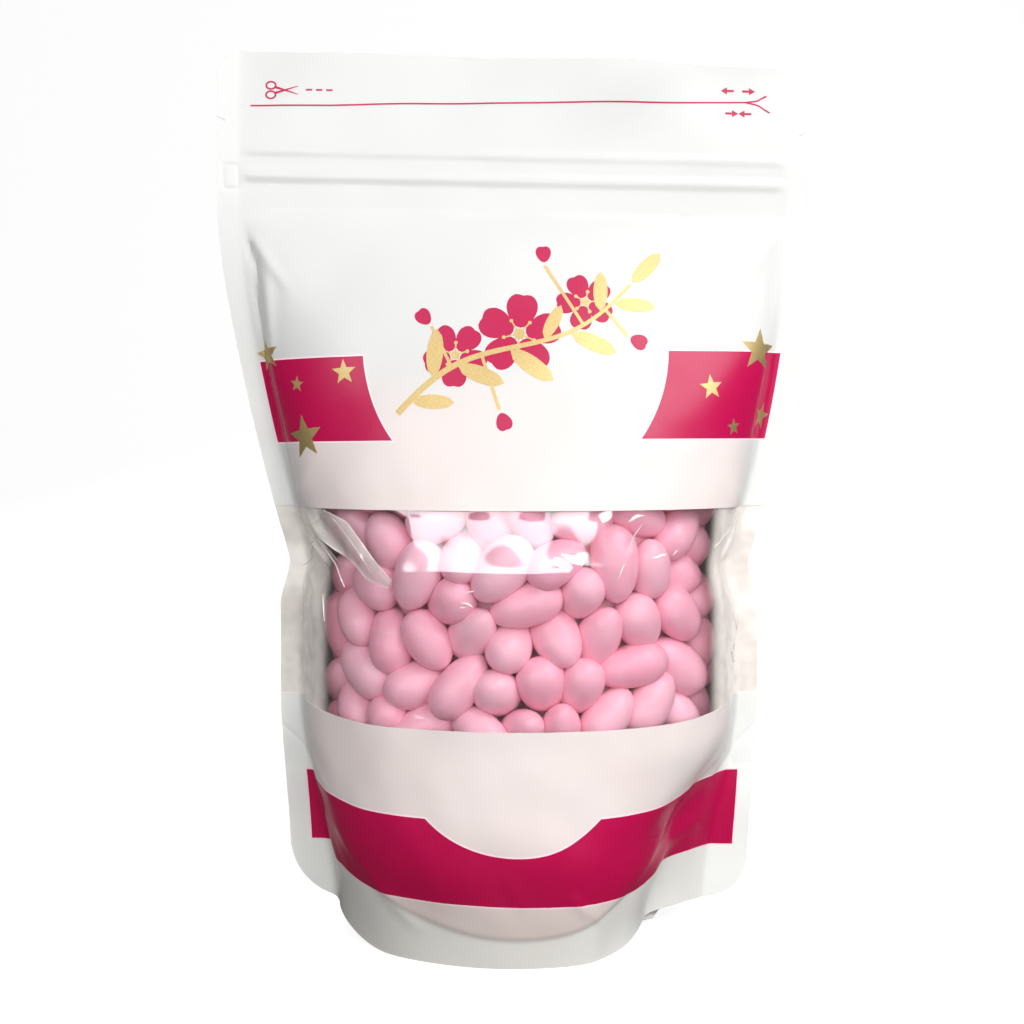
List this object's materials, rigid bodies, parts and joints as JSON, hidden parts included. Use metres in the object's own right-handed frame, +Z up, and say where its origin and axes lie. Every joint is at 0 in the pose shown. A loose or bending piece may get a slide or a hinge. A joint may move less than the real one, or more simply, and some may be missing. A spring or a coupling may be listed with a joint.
{
  "type": "pouch of sugared almonds",
  "caption": "Filled stand-up pouch of white paper with a press-to-close strip, flat side seals and a clear window that shows pink sugared almonds.",
  "frame": {"origin": "on the floor under the middle of the pouch's foot, at the centre of the bounding box's bottom face", "axes": "+Z up along the pouch's height, the printed front with the window faces -Y, +X to the right as one looks at the front"},
  "size_m": [0.19, 0.0881, 0.276],
  "materials": {
    "paper": "satin white paper laminate",
    "clear_film": "clear crumpled film",
    "pink_sugar": "satin sugar shell"
  },
  "bodies": {
    "root": {"pouch": "paper", "window_film": "clear_film", "almonds": "pink_sugar"}
  },
  "joints": []
}
